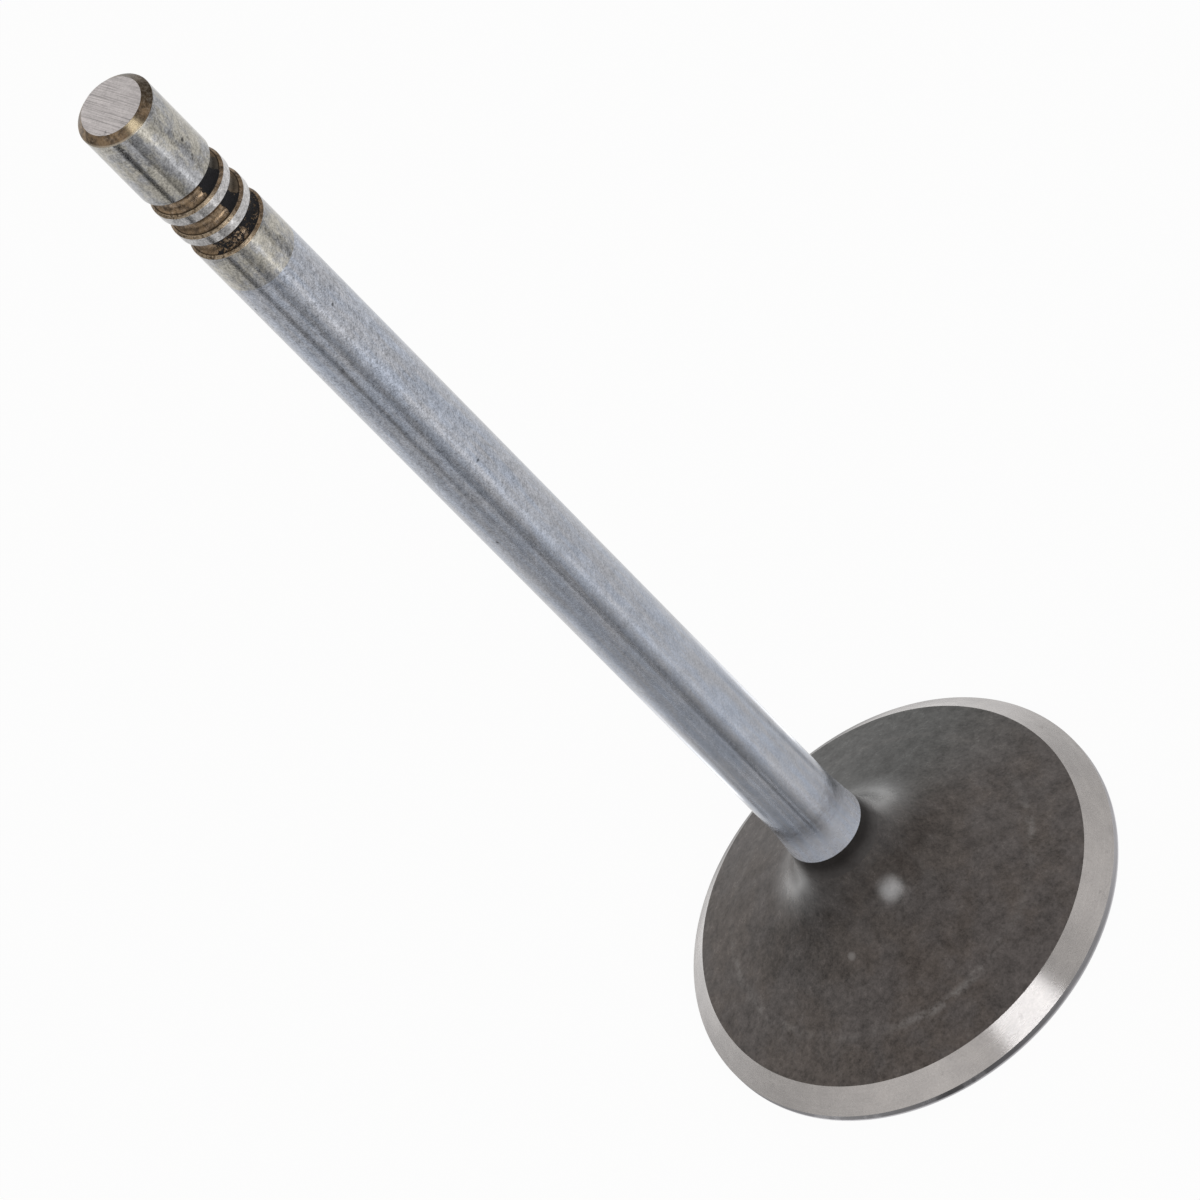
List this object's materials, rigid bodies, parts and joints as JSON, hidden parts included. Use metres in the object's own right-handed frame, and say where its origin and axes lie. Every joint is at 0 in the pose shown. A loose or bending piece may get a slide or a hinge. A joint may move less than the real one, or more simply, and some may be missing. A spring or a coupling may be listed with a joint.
{
  "type": "engine valve",
  "caption": "Poppet valve with a plated stem, keeper grooves behind a chamfered tip, a blended neck and a round head with a ground conical seat over a thin rim.",
  "frame": {"origin": "centre of the head face, which the valve stands on", "axes": "+Z along the stem, from the head face to the tip; X and Y are any two square directions in the head face, because the valve is round"},
  "size_m": [0.0356, 0.0356, 0.1161],
  "materials": {
    "valve_steel": "satin plated stem, ground tip face and seat, heat-browned grooves and tip chamfer, dark forged head back"
  },
  "bodies": {
    "root": {"valve": "valve_steel"}
  },
  "joints": []
}
